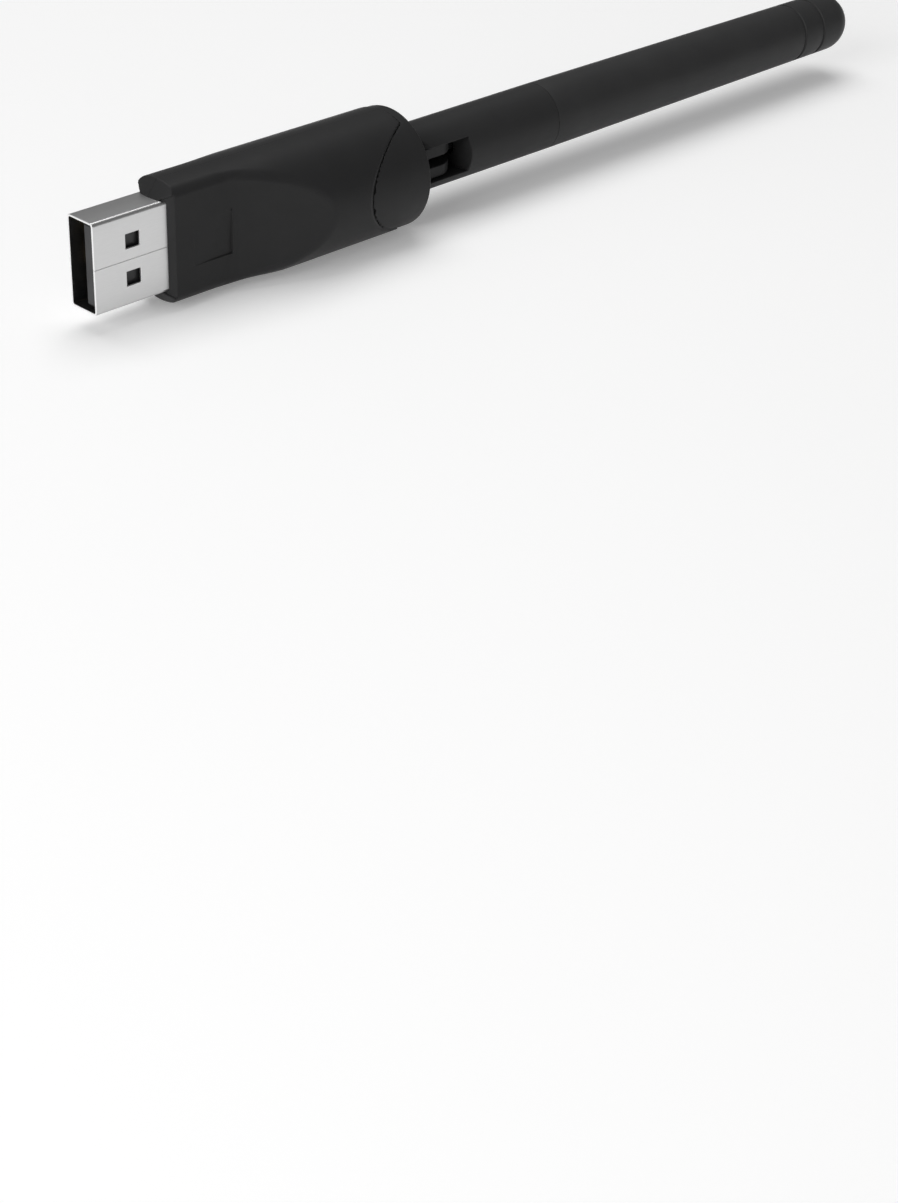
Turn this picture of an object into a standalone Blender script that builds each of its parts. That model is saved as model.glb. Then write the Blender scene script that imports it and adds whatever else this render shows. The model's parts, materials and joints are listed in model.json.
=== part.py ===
"""A USB wireless adapter with a folding rod antenna, built as separate solids.

It lies on one narrow side, as it would on a desk: X runs from the plug's mouth to
the antenna's tip, Y is the direction that the wide faces look in, and Z is up.
The origin is the bottom centre of the bounding box. Stations are distances along
X from the plug's mouth, and heights are measured from the barrel's axis.
"""

import math

import bmesh
import bpy
from mathutils import Matrix, Vector

MM = 0.001

# Driving dimensions
TIP = 158.0 * MM  # station of the antenna's tip, so the whole length
BARREL_R = 8.75 * MM  # radius of the case's round rear half
SEAT = 0.3 * MM  # gap between pieces that rest on each other, out of sight
SEAM_GAP = 0.1 * MM  # gap of a joint line that shows
RUN = 0.07 * MM  # radial clearance of a turning fit
OVERLAP = 0.5 * MM  # how far shapes that are joined, or cut together, run into each other
PAST = 1.0 * MM  # how far a cutter runs past the surface that it opens
REACH = 12.0 * MM  # how far from the axis a cutter goes that runs right through the case
CASE_SIDES = 60
ANTENNA_SIDES = 32

# USB type A plug
PLUG_WIDTH = 12.0 * MM
PLUG_THICK = 4.5 * MM
PLUG_SHEET = 0.3 * MM
PLUG_END = 18.7 * MM
PLUG_RISE = 0.3 * MM  # the plug's middle stands this far above the barrel's axis
LATCH_START = 5.1 * MM
LATCH_LENGTH = 2.3 * MM
LATCH_WIDTH = 2.0 * MM
LATCH_OFFSET = 2.56 * MM
TONGUE_START = 0.6 * MM
TONGUE_THICK = 1.84 * MM
TONGUE_TOP = 0.04 * MM  # the contact side of the tongue, and of the circuit board
TONGUE_WIDTH = 11.0 * MM
BLOCK_START = 9.2 * MM  # the tongue thickens here and fills the plug
TONGUE_SLOT_HALF = 4.3 * MM  # half the width of the slot that the contacts lie in
CONTACT_WIDTH = 1.0 * MM
CONTACT_THICK = 0.25 * MM
CONTACT_END = 21.0 * MM
CONTACTS = {
    "contact_vbus": (-3.5 * MM, 1.7 * MM),
    "contact_data_minus": (-1.0 * MM, 2.7 * MM),
    "contact_data_plus": (1.0 * MM, 2.7 * MM),
    "contact_ground": (3.5 * MM, 1.7 * MM),
}

# Case
FACE_Y = 3.55 * MM  # half the thickness between the two wide flats
EDGE_ROUND = 1.6 * MM  # round where the flats meet the barrel
EDGE_ROUND_REAR = 2.4 * MM  # the same at the top of the ramps
FRONT_LIFT = 0.6 * MM  # the underside stands this much higher at the front
LIFT_START = 23.5 * MM  # from here it steps down to the barrel
LIFT_END = 31.0 * MM
FRONT = 10.15 * MM
FRONT_R = 5.7 * MM
CONE_END = 12.5 * MM  # the cone above and below the plug reaches the barrel here
NOTCH_START = 11.75 * MM  # the wide faces stop this far back, between two ears
NOTCH_HALF = 6.15 * MM
NOTCH_END = 12.7 * MM  # the notch's slanted floor has left the flat here
NOTCH_END_Y = 3.95 * MM
RAMP_START = 22.0 * MM
RAMP_END = 36.0 * MM  # the ramp has climbed from the flat to the barrel here
SWOOP_START = 42.4 * MM  # the inclined cuts leave the barrel's surface here
SWOOP_FLOOR = 3.9 * MM  # half the distance between the cuts at the case's end
CASE_END = 52.3 * MM
WALL = 1.15 * MM
CAVITY_START = 18.5 * MM
CAVITY_END = 39.2 * MM
LABEL_START = 15.5 * MM
LABEL_END = 22.0 * MM
LABEL_HALF = 3.1 * MM
LABEL_DEPTH = 0.3 * MM

# Rear cap and swivel
CAP_START = 39.4 * MM
CAP_END = 54.1 * MM
CAP_R = 8.6 * MM
CAP_CORE_R = 7.4 * MM
RIB_START = 41.0 * MM
RIB_END = 42.2 * MM
RIB_R = 6.3 * MM
PAD_START = 42.7 * MM
PAD_ROOT_R = 6.6 * MM
NECK_R = 3.5 * MM
NECK_BORE_R = 1.4 * MM
NECK_START = 36.9 * MM
CLIP_START = 38.0 * MM
CLIP_END = 38.7 * MM
CLIP_R = 4.3 * MM
CLIP_GROOVE_R = 2.8 * MM
CLIP_OPENING_HALF = 2.0 * MM
PAD_GAP = 0.15 * MM  # between the shown pads and the edges of the inclined cuts
STOP_WIDTH = 0.7 * MM
STOP_R = 5.4 * MM
LUG_R = 5.2 * MM
COLLAR_R = 6.6 * MM
COLLAR_START = 54.35 * MM
COLLAR_END = 55.75 * MM
CHAMFER = 0.3 * MM

# Tilt knuckle
PIN = 61.0 * MM  # station of the tilt axis
PIN_R = 0.8 * MM
PIN_HALF = 4.1 * MM
KNUCKLE_R = 3.5 * MM
PRONG_OUT = 2.4 * MM
PRONG_IN = 0.7 * MM
PASSAGE_START = 55.55 * MM
FORK_HALF = 2.55 * MM  # half the slot's width between the sleeve's cheeks
HEEL_OVER = 0.02 * MM  # how much larger the heel's round is than the sleeve's
FORK_GAP = 0.15 * MM  # between the knuckle and the closed side of the fork
SLOT_END = 65.7 * MM

# Antenna
SLEEVE_R = 4.97 * MM
SLEEVE_START = 56.15 * MM
SEAM = 84.35 * MM
SPIGOT_START = 76.3 * MM
SPIGOT_R = 3.4 * MM
LEAD_BORE_R = 1.07 * MM
RADOME_BORE_R = 2.75 * MM
RADOME_BORE_END = 148.0 * MM
TIP_R = 4.6 * MM
GROOVES = (144.25 * MM, 149.15 * MM)
GROOVE_WIDTH = 0.7 * MM
GROOVE_DEPTH = 0.22 * MM
DIPOLE_START = 88.0 * MM
DIPOLE_END = 114.0 * MM
DIPOLE_R = 2.3 * MM
DIPOLE_BORE_R = 1.9 * MM
RADIATOR_START = 115.0 * MM
RADIATOR_END = 146.0 * MM
RADIATOR_R = 0.45 * MM

# Circuit board and what is on it
BOARD_START = 19.0 * MM
BOARD_END = 36.0 * MM
BOARD_HALF = 6.8 * MM
BOARD_THICK = 0.8 * MM
CAPACITOR = (0.9 * MM, 1.7 * MM, 0.8 * MM)
# On the board's far side: station and height of the middle, then length, width and thickness
COMPONENTS = {
    "wifi_chip": (27.0 * MM, -1.0 * MM, 6.0 * MM, 6.0 * MM, 0.85 * MM),
    "crystal": (33.2 * MM, -4.6 * MM, 3.2 * MM, 2.5 * MM, 0.7 * MM),
    "voltage_regulator": (24.0 * MM, 4.8 * MM, 2.9 * MM, 1.6 * MM, 1.0 * MM),
    "power_inductor": (28.6 * MM, 4.6 * MM, 3.0 * MM, 3.0 * MM, 1.2 * MM),
    "capacitor_1": (32.4 * MM, 4.6 * MM, *CAPACITOR),
    "capacitor_2": (34.4 * MM, 4.6 * MM, *CAPACITOR),
    "capacitor_3": (32.4 * MM, 1.9 * MM, *CAPACITOR),
    "capacitor_4": (22.8 * MM, -5.2 * MM, *CAPACITOR),
}

# Coaxial lead, in three stretches because it flexes in the knuckle
COAX_R = 0.57 * MM
COAX_START = 34.8 * MM
COAX_FALL_START = 35.6 * MM  # from the board down to the axis
COAX_FALL_END = 40.0 * MM
COAX_BEND_START = 57.6 * MM
COAX_BEND_END = 64.4 * MM
COAX_BREAK = 0.5 * MM  # between the stretch in the knuckle and the one in the antenna
COAX_END = 113.6 * MM

COLOURS = {
    "case_plastic": ((0.022, 0.022, 0.024), 0.42, 0.0),
    "antenna_plastic": ((0.020, 0.020, 0.022), 0.45, 0.0),
    "plug_steel": ((0.70, 0.70, 0.71), 0.25, 1.0),
    "tongue_plastic": ((0.035, 0.035, 0.037), 0.5, 0.0),
    "gold": ((0.80, 0.58, 0.24), 0.25, 1.0),
    "board_green": ((0.02, 0.11, 0.05), 0.45, 0.0),
    "chip_epoxy": ((0.02, 0.02, 0.02), 0.6, 0.0),
    "can_steel": ((0.60, 0.60, 0.60), 0.35, 1.0),
    "ceramic": ((0.40, 0.27, 0.16), 0.5, 0.0),
    "ferrite": ((0.06, 0.06, 0.065), 0.7, 0.0),
    "spring_steel": ((0.45, 0.45, 0.46), 0.35, 1.0),
    "brass": ((0.72, 0.52, 0.22), 0.3, 1.0),
    "copper": ((0.75, 0.36, 0.22), 0.3, 1.0),
    "cable_jacket": ((0.03, 0.03, 0.032), 0.55, 0.0),
}


def clear_scene():
    for obj in list(bpy.data.objects):
        bpy.data.objects.remove(obj, do_unlink=True)


def make_materials():
    made = {}
    for name, (colour, roughness, metallic) in COLOURS.items():
        material = bpy.data.materials.new(name)
        material.use_nodes = True
        shader = material.node_tree.nodes["Principled BSDF"]
        shader.inputs["Base Color"].default_value = (*colour, 1.0)
        shader.inputs["Roughness"].default_value = roughness
        shader.inputs["Metallic"].default_value = metallic
        made[name] = material
    return made


def at(station, y=0.0, height=0.0):
    """World point of a station along the adapter, a distance Y and a height above its axis."""
    return Vector((station - TIP / 2, y, height + BARREL_R))


def finish(name, bm, origin=None, smooth=True):
    """Turns a bmesh into an object with its origin at the given point."""
    origin = origin or at(0.0)
    bmesh.ops.recalc_face_normals(bm, faces=bm.faces)
    mesh = bpy.data.meshes.new(name)
    bmesh.ops.translate(bm, verts=bm.verts, vec=-origin)
    bm.to_mesh(mesh)
    bm.free()
    if smooth:
        mesh.shade_smooth()
        mesh.set_sharp_from_angle(angle=math.radians(30))
    obj = bpy.data.objects.new(name, mesh)
    obj.location = origin
    bpy.context.collection.objects.link(obj)
    return obj


def turned(name, profile, segments=48, origin=None, flat_foot=False):
    """A solid turned about the axis from (station, radius) points. Radius 0 closes an end.

    With flat_foot, the middles of the facets lie at the radius, one of them straight below
    the axis, so that the piece rests on a narrow flat and not on a ridge.
    """
    bm = bmesh.new()
    rings = []
    turn = math.pi / segments if flat_foot else 0.0
    grow = 1 / math.cos(math.pi / segments) if flat_foot else 1.0
    for station, radius in profile:
        count = segments if radius > 0 else 1
        ring = []
        for k in range(count):
            angle = 2 * math.pi * k / segments + turn
            y, height = grow * radius * math.cos(angle), grow * radius * math.sin(angle)
            ring.append(bm.verts.new(at(station, y, height)))
        rings.append(ring)
    closed = profile[0][1] > 0 and profile[-1][1] > 0
    pairs = list(zip(rings, rings[1:]))
    if closed:
        pairs.append((rings[-1], rings[0]))
    for first, second in pairs:
        for k in range(segments):
            n = (k + 1) % segments
            if len(first) == 1:
                bm.faces.new((first[0], second[n], second[k]))
            elif len(second) == 1:
                bm.faces.new((first[k], first[n], second[0]))
            else:
                bm.faces.new((first[k], first[n], second[n], second[k]))
    return finish(name, bm, origin)


def block(name, low, high, origin=None):
    """A box between two (station, y, height) corners."""
    bm = bmesh.new()
    bmesh.ops.create_cube(bm, size=1.0)
    low, high = at(*low), at(*high)
    size = high - low
    for vert in bm.verts:
        vert.co = Vector([low[i] + (vert.co[i] + 0.5) * size[i] for i in range(3)])
    return finish(name, bm, origin, smooth=False)


def prism(name, outline, low, high, origin=None):
    """An outline of (station, y) points, extruded from one height to another."""
    bm = bmesh.new()
    face = bm.faces.new([bm.verts.new(at(station, y, low)) for station, y in outline])
    grown = bmesh.ops.extrude_face_region(bm, geom=[face])
    moved = [item for item in grown["geom"] if isinstance(item, bmesh.types.BMVert)]
    bmesh.ops.translate(bm, verts=moved, vec=(0, 0, high - low))
    return finish(name, bm, origin)


def round_bar(name, centre, direction, radius, half_length, segments=32, origin=None):
    """A bar about a point, along a world direction."""
    bm = bmesh.new()
    bmesh.ops.create_cone(
        bm,
        cap_ends=True,
        segments=segments,
        radius1=radius,
        radius2=radius,
        depth=2 * half_length,
    )
    turn = Vector(direction).to_track_quat("Z", "Y").to_matrix().to_4x4()
    bmesh.ops.transform(bm, matrix=Matrix.Translation(centre) @ turn, verts=bm.verts)
    return finish(name, bm, origin)


def combine(target, tool, operation="DIFFERENCE"):
    """Cuts, joins or intersects with a helper object, which is then left out of the model."""
    modifier = target.modifiers.new(operation.lower(), "BOOLEAN")
    modifier.operation = operation
    modifier.solver = "EXACT"
    modifier.object = tool
    tool.hide_render = True
    tool.display_type = "WIRE"


def arc(centre, radius, start, end, count):
    """Points (station, y) along an arc in the plane of the wide faces' thickness."""
    points = []
    for k in range(count + 1):
        angle = math.radians(start + (end - start) * k / count)
        points.append((centre[0] + radius * math.cos(angle), centre[1] + radius * math.sin(angle)))
    return points


def tube(name, points, radius, origin=None):
    """A cable along (station, y, height) points."""
    origin = origin or at(0.0)
    curve = bpy.data.curves.new(name, "CURVE")
    curve.dimensions = "3D"
    curve.bevel_depth = radius
    curve.bevel_resolution = 2
    curve.use_fill_caps = True
    spline = curve.splines.new("POLY")
    spline.points.add(len(points) - 1)
    for point, place in zip(spline.points, points):
        point.co = (*(at(*place) - origin), 1.0)
    obj = bpy.data.objects.new(name, curve)
    obj.location = origin
    bpy.context.collection.objects.link(obj)
    return obj


# ---------------------------------------------------------------- USB plug


def usb_shell():
    half_y, half_z = PLUG_THICK / 2, PLUG_WIDTH / 2
    shell = block("usb_shell", (0, -half_y, PLUG_RISE - half_z), (PLUG_END, half_y, PLUG_RISE + half_z))
    inner_y, inner_z = half_y - PLUG_SHEET, half_z - PLUG_SHEET
    mouth = block(
        "cut_plug_mouth",
        (-PAST, -inner_y, PLUG_RISE - inner_z),
        (PLUG_END + PAST, inner_y, PLUG_RISE + inner_z),
    )
    combine(shell, mouth)
    for side in (-1, 1):
        height = PLUG_RISE + side * LATCH_OFFSET
        window = block(
            f"cut_latch_{'low' if side < 0 else 'high'}",
            (LATCH_START, -half_y - PAST, height - LATCH_WIDTH / 2),
            (LATCH_START + LATCH_LENGTH, half_y + PAST, height + LATCH_WIDTH / 2),
        )
        combine(shell, window)
    return shell


def usb_tongue():
    """The insulator: a thin tongue at the mouth, and a block that fills the plug behind it."""
    low_y = TONGUE_TOP - TONGUE_THICK
    half = TONGUE_WIDTH / 2
    inner_y = PLUG_THICK / 2 - PLUG_SHEET - SEAT
    tongue = block(
        "usb_tongue",
        (TONGUE_START, low_y, PLUG_RISE - half),
        (PLUG_END - SEAT, inner_y, PLUG_RISE + half),
    )
    mouth = block(
        "cut_tongue_mouth",
        (TONGUE_START - PAST, TONGUE_TOP, PLUG_RISE - half - PAST),
        (BLOCK_START, inner_y + PAST, PLUG_RISE + half + PAST),
    )
    combine(tongue, mouth)
    slot = block(
        "cut_tongue_slot",
        (BLOCK_START - PAST, TONGUE_TOP, PLUG_RISE - TONGUE_SLOT_HALF),
        (PLUG_END + PAST, TONGUE_TOP + CONTACT_THICK + 2 * SEAT, PLUG_RISE + TONGUE_SLOT_HALF),
    )
    combine(tongue, slot)
    return tongue


def contacts():
    made = []
    low_y = TONGUE_TOP + SEAT
    for name, (height, start) in CONTACTS.items():
        middle = PLUG_RISE + height
        strip = block(
            name,
            (start, low_y, middle - CONTACT_WIDTH / 2),
            (CONTACT_END, low_y + CONTACT_THICK, middle + CONTACT_WIDTH / 2),
        )
        made.append(strip)
    return made


# -------------------------------------------------------------------- Case


def share(station, start, end):
    """How far a station lies along a stretch, from 0 before it to 1 past it."""
    return min(max((station - start) / (end - start), 0.0), 1.0)


def eased(value):
    """A value from 0 to 1 that starts and ends gently."""
    return value * value * (3 - 2 * value)


def section(climbed, lift, inset, sides=48):
    """Points (y, height) of the case's cross-section: the barrel between two flats, edges rounded.

    Each side of the polygon touches the round outline, and one of them is straight below the
    axis. The section is the part of a smaller circle between two lines, grown by the round.
    Climbed runs from 0 between the flats to 1 at the top of the ramps, where it is the barrel,
    and lift raises the lower half.
    """
    half_thickness = FACE_Y + (BARREL_R - FACE_Y) * climbed
    edge_round = EDGE_ROUND + (EDGE_ROUND_REAR - EDGE_ROUND) * climbed
    core_r = BARREL_R - edge_round
    core_y = min(half_thickness - edge_round, core_r)
    corner = math.sqrt(core_r**2 - core_y**2)
    lines = []
    for k in range(sides):
        angle = 2 * math.pi * k / sides
        across, up = math.cos(angle), math.sin(angle)
        if core_r * abs(across) <= core_y:
            reach = core_r
        else:
            reach = core_y * abs(across) + corner * abs(up)
        reach += edge_round - inset - lift * max(-up, 0)
        lines.append((across, up, reach))
    points = []
    sine = math.sin(2 * math.pi / sides)
    for (y1, h1, d1), (y2, h2, d2) in zip(lines, lines[1:] + lines[:1]):
        points.append(((d1 * h2 - d2 * h1) / sine, (y1 * d2 - y2 * d1) / sine))
    return points


def barrel(name, start, end, inset=0.0):
    """The case's outer form, or its inside when inset by the wall, between two stations."""
    stations = [start]
    steps = 10
    for k in range(steps + 1):
        stations.append(RAMP_START + (RAMP_END - RAMP_START) * k / steps)
    stations.append(end)
    bm = bmesh.new()
    rings = []
    for station in stations:
        lift = FRONT_LIFT * (1 - eased(share(station, LIFT_START, LIFT_END)))
        outline = section(share(station, RAMP_START, RAMP_END), lift, inset)
        rings.append([bm.verts.new(at(station, y, height)) for y, height in outline])
    for first, second in zip(rings, rings[1:]):
        for a, b, c, d in zip(first, first[1:] + first[:1], second[1:] + second[:1], second):
            bm.faces.new((a, b, c, d))
    bm.faces.new(rings[0])
    bm.faces.new(rings[-1])
    return finish(name, bm)


def swoop_outline(offset=0.0):
    """Outline of the inclined cut at the case's rear end, moved outwards by an offset."""
    slope = (BARREL_R - SWOOP_FLOOR) / (CASE_END - SWOOP_START)
    start, end = SWOOP_START - PAST, CASE_END + PAST
    start_y = BARREL_R + slope * PAST + offset
    end_y = SWOOP_FLOOR - slope * PAST + offset
    return [(start, start_y), (end, end_y), (end, REACH), (start, REACH)]


def mirrored(outline, side):
    """The outline, or its mirror image across the axis when side is -1."""
    return [(station, side * across) for station, across in outline]


def case_half(name, side):
    """One half of the case, parted at the middle plane. side is -1 or 1 along Y."""
    half = barrel(name, FRONT, CASE_END)
    label = "near" if side < 0 else "far"
    low_y, high_y = sorted((side * SEAM_GAP / 2, side * REACH))
    keep = block(f"keep_{label}", (0, low_y, -REACH), (CASE_END + PAST, high_y, REACH))
    combine(half, keep, "INTERSECT")
    combine(half, front_cone(label), "INTERSECT")
    combine(half, prism(f"cut_swoop_{label}", mirrored(swoop_outline(), side), -REACH, REACH))
    combine(half, barrel(f"cut_room_{label}", CAVITY_START, CAVITY_END, WALL))
    combine(half, cap_bore(label))
    pocket_y, pocket_h = PLUG_THICK / 2 + SEAM_GAP, PLUG_WIDTH / 2 + SEAM_GAP
    pocket = block(
        f"cut_plug_pocket_{label}",
        (FRONT - PAST, -pocket_y, PLUG_RISE - pocket_h),
        (CAVITY_START + PAST, pocket_y, PLUG_RISE + pocket_h),
    )
    combine(half, pocket)
    notch = [
        (FRONT - PAST, pocket_y - OVERLAP),
        (NOTCH_START, pocket_y - OVERLAP),
        (NOTCH_START, pocket_y),
        (NOTCH_END, NOTCH_END_Y),
        (NOTCH_END, REACH),
        (FRONT - PAST, REACH),
    ]
    notch_low = PLUG_RISE - NOTCH_HALF
    notch_high = PLUG_RISE + NOTCH_HALF
    combine(half, prism(f"cut_notch_{label}", mirrored(notch, side), notch_low, notch_high))
    return half


def front_cone(label):
    """A solid that holds the whole case but for the cone at its front."""
    slope = (CONE_END - FRONT) / (BARREL_R - FRONT_R)
    far = CONE_END + slope * (REACH - BARREL_R)
    behind = CASE_END + PAST
    profile = [(FRONT, 0), (FRONT, FRONT_R), (far, REACH), (behind, REACH), (behind, 0)]
    return turned(f"keep_cone_{label}", profile, segments=CASE_SIDES)


def cap_bore(label):
    """The bore for the rear cap, with a rib that holds it. Its first step lies inside the room."""
    bore_r = CAP_CORE_R + SEAT
    rib_r = RIB_R + SEAT
    return turned(
        f"cut_bore_{label}",
        [
            (CAVITY_END - OVERLAP, 0),
            (CAVITY_END - OVERLAP, CAP_CORE_R),
            (CAVITY_END, CAP_CORE_R),
            (CAVITY_END, bore_r),
            (RIB_START, bore_r),
            (RIB_START, rib_r),
            (RIB_END, rib_r),
            (RIB_END, bore_r),
            (CASE_END + PAST, bore_r),
            (CASE_END + PAST, 0),
        ],
        segments=CASE_SIDES,
    )


def label_recess(half):
    recess = block(
        "cut_label",
        (LABEL_START, -FACE_Y - PAST, -LABEL_HALF),
        (LABEL_END, -FACE_Y + LABEL_DEPTH, LABEL_HALF),
    )
    combine(half, recess)


# ------------------------------------------------------- Board and its parts


def circuit_board():
    return block(
        "circuit_board",
        (BOARD_START, TONGUE_TOP - BOARD_THICK, -BOARD_HALF),
        (BOARD_END, TONGUE_TOP, BOARD_HALF),
    )


def board_part(name):
    """A component's body, just off the board's far side."""
    station, height, length, width, thick = COMPONENTS[name]
    face = TONGUE_TOP + SEAT
    return block(
        name,
        (station - length / 2, face, height - width / 2),
        (station + length / 2, face + thick, height + width / 2),
    )


# ------------------------------------------------------ Rear cap and swivel


def rear_cap():
    """The round end piece: a core held in the case's rib, and faces exposed by the inclined cuts."""
    core_r, rib_r = CAP_CORE_R, RIB_R
    neck_r = NECK_R + RUN
    cap = turned(
        "rear_cap",
        [
            (CAP_START, neck_r),
            (CAP_START, core_r),
            (RIB_START - SEAT, core_r),
            (RIB_START - SEAT, rib_r),
            (RIB_END + SEAT, rib_r),
            (RIB_END + SEAT, core_r),
            (CASE_END + SEAM_GAP, core_r),
            (CASE_END + SEAM_GAP, CAP_R),
            (CAP_END, CAP_R),
            (CAP_END, neck_r),
        ],
        segments=CASE_SIDES,
    )
    pad_end = CASE_END + SEAM_GAP + OVERLAP
    for side in (-1, 1):
        label = "near" if side < 0 else "far"
        pad = turned(
            f"pad_{label}",
            [
                (PAD_START, PAD_ROOT_R),
                (PAD_START, CAP_R),
                (pad_end, CAP_R),
                (pad_end, PAD_ROOT_R),
            ],
            segments=CASE_SIDES,
        )
        zone = prism(f"pad_zone_{label}", mirrored(swoop_outline(PAD_GAP), side), -REACH, REACH)
        combine(pad, zone, "INTERSECT")
        combine(cap, pad, "UNION")
    post = block(
        "stop_post",
        (CLIP_START + SEAM_GAP, -STOP_WIDTH / 2, CLIP_R + SEAT),
        (CAP_START + OVERLAP, STOP_WIDTH / 2, STOP_R),
    )
    combine(cap, post, "UNION")
    return cap


def swivel_hub():
    """Neck, round collar and the two prongs of the knuckle, in one moulding."""
    pivot = at(COLLAR_START)
    hub = turned(
        "swivel_hub",
        [
            (NECK_START, NECK_BORE_R),
            (NECK_START, NECK_R - CHAMFER),
            (NECK_START + CHAMFER, NECK_R),
            (CLIP_START - SEAT, NECK_R),
            (CLIP_START - SEAT, CLIP_GROOVE_R),
            (CLIP_END + SEAT, CLIP_GROOVE_R),
            (CLIP_END + SEAT, NECK_R),
            (COLLAR_START, NECK_R),
            (COLLAR_START, COLLAR_R),
            (COLLAR_END - CHAMFER, COLLAR_R),
            (COLLAR_END, COLLAR_R - CHAMFER),
            (COLLAR_END, NECK_BORE_R),
        ],
        origin=pivot,
    )
    root = COLLAR_END - OVERLAP
    outline = [(root, -KNUCKLE_R), *arc((PIN, 0), KNUCKLE_R, -90, 90, 18), (root, KNUCKLE_R)]
    tongue = prism("knuckle", outline, -PRONG_OUT, PRONG_OUT, origin=pivot)
    combine(hub, tongue, "UNION")
    passage = block(
        "cut_passage",
        (PASSAGE_START, -KNUCKLE_R - PAST, -PRONG_IN),
        (PIN + KNUCKLE_R + PAST, KNUCKLE_R + PAST, PRONG_IN),
        origin=pivot,
    )
    combine(hub, passage)
    bore = round_bar("cut_hub_bore", at(COLLAR_END), (1, 0, 0), NECK_BORE_R, PAST, origin=pivot)
    combine(hub, bore)
    hole = round_bar("cut_pin_hole", at(PIN), (0, 0, 1), PIN_R + RUN, PIN_HALF + PAST, origin=pivot)
    combine(hub, hole)
    return hub


def swivel_clip():
    """A spring clip in the neck's groove, open at the top, with a stop lug at the bottom."""
    pivot = at(COLLAR_START)
    inner = CLIP_GROOVE_R + SEAT
    clip = turned(
        "swivel_clip",
        [(CLIP_START, inner), (CLIP_START, CLIP_R), (CLIP_END, CLIP_R), (CLIP_END, inner)],
        origin=pivot,
    )
    lug = block(
        "clip_lug",
        (CLIP_START, -STOP_WIDTH / 2, -LUG_R),
        (CLIP_END, STOP_WIDTH / 2, -CLIP_R + OVERLAP),
        origin=pivot,
    )
    combine(clip, lug, "UNION")
    opening = block(
        "cut_clip",
        (CLIP_START - PAST, -CLIP_OPENING_HALF, 0),
        (CLIP_END + PAST, CLIP_OPENING_HALF, CLIP_R + PAST),
        origin=pivot,
    )
    combine(clip, opening)
    return clip


# ----------------------------------------------------------------- Antenna


def hinge_pin():
    return round_bar("hinge_pin", at(PIN), (0, 0, 1), PIN_R, PIN_HALF, origin=at(PIN))


def antenna_sleeve():
    """The lower tube: a fork at its foot, a bore above for the radome's spigot."""
    pivot = at(PIN)
    sleeve = turned(
        "antenna_sleeve",
        [
            (SLEEVE_START, 0),
            (SLEEVE_START, SLEEVE_R),
            (SEAM - SEAM_GAP / 2, SLEEVE_R),
            (SEAM - SEAM_GAP / 2, SPIGOT_R + SEAT),
            (SPIGOT_START - SEAT, SPIGOT_R + SEAT),
            (SPIGOT_START - SEAT, LEAD_BORE_R),
            (SLOT_END - OVERLAP, LEAD_BORE_R),
            (SLOT_END - OVERLAP, 0),
        ],
        segments=ANTENNA_SIDES,
        origin=pivot,
        flat_foot=True,
    )
    front = SLEEVE_START - PAST
    outside = SLEEVE_R + PAST
    slot = block(
        "cut_fork",
        (front, -outside, -FORK_HALF),
        (SLOT_END, KNUCKLE_R + FORK_GAP, FORK_HALF),
        origin=pivot,
    )
    combine(sleeve, slot)
    heel_r = SLEEVE_R + HEEL_OVER
    heel = [(PIN, -outside), *arc((PIN, 0), heel_r, 270, 180, 16), (front, 0), (front, -outside)]
    combine(sleeve, prism("cut_heel", heel, -outside, outside, origin=pivot))
    low, high = -outside, PIN_HALF + SEAM_GAP
    bore = round_bar(
        "cut_pin_bore",
        at(PIN, 0, (low + high) / 2),
        (0, 0, 1),
        PIN_R + SEAM_GAP,
        (high - low) / 2,
        origin=pivot,
    )
    combine(sleeve, bore)
    return sleeve


def radome_profile():
    """Outer line of the upper tube from its seam to its tip: a slow taper, two rings, a dome."""
    slope = (TIP_R - SLEEVE_R) / (TIP - TIP_R - SEAM)
    points = [(SEAM + SEAM_GAP / 2, SLEEVE_R)]
    for middle in GROOVES:
        radius = SLEEVE_R + slope * (middle - SEAM)
        half = GROOVE_WIDTH / 2
        points.append((middle - half, radius))
        points.append((middle - half, radius - GROOVE_DEPTH))
        points.append((middle + half, radius - GROOVE_DEPTH))
        points.append((middle + half, radius))
    steps = 10
    for k in range(steps + 1):
        angle = math.pi / 2 * k / steps
        radius = TIP_R * math.cos(angle) if k < steps else 0
        points.append((TIP - TIP_R + TIP_R * math.sin(angle), radius))
    return points


def antenna_radome():
    return turned(
        "antenna_radome",
        [
            (RADOME_BORE_END, 0),
            (RADOME_BORE_END, RADOME_BORE_R),
            (SPIGOT_START, RADOME_BORE_R),
            (SPIGOT_START, SPIGOT_R),
            (SEAM + SEAM_GAP / 2, SPIGOT_R),
            *radome_profile(),
        ],
        segments=ANTENNA_SIDES,
        origin=at(PIN),
        flat_foot=True,
    )


def dipole_sleeve():
    return turned(
        "dipole_sleeve",
        [
            (DIPOLE_START, DIPOLE_BORE_R),
            (DIPOLE_START, DIPOLE_R),
            (DIPOLE_END, DIPOLE_R),
            (DIPOLE_END, DIPOLE_BORE_R),
        ],
        segments=ANTENNA_SIDES,
        origin=at(PIN),
    )


def radiator_wire():
    middle = at((RADIATOR_START + RADIATOR_END) / 2)
    half = (RADIATOR_END - RADIATOR_START) / 2
    return round_bar("radiator_wire", middle, (1, 0, 0), RADIATOR_R, half, segments=16, origin=at(PIN))


def coax_lower():
    """The lead from the board's far side down to the axis and out through the swivel's neck."""
    start, end = COAX_START, COAX_BEND_START - SEAT
    above = TONGUE_TOP + SEAT + COAX_R
    points = []
    steps = 24
    for k in range(steps + 1):
        station = start + (end - start) * k / steps
        fall = eased(share(station, COAX_FALL_START, COAX_FALL_END))
        points.append((station, above * (1 - fall), 0.0))
    return tube("coax_lower", points, COAX_R)


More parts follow.
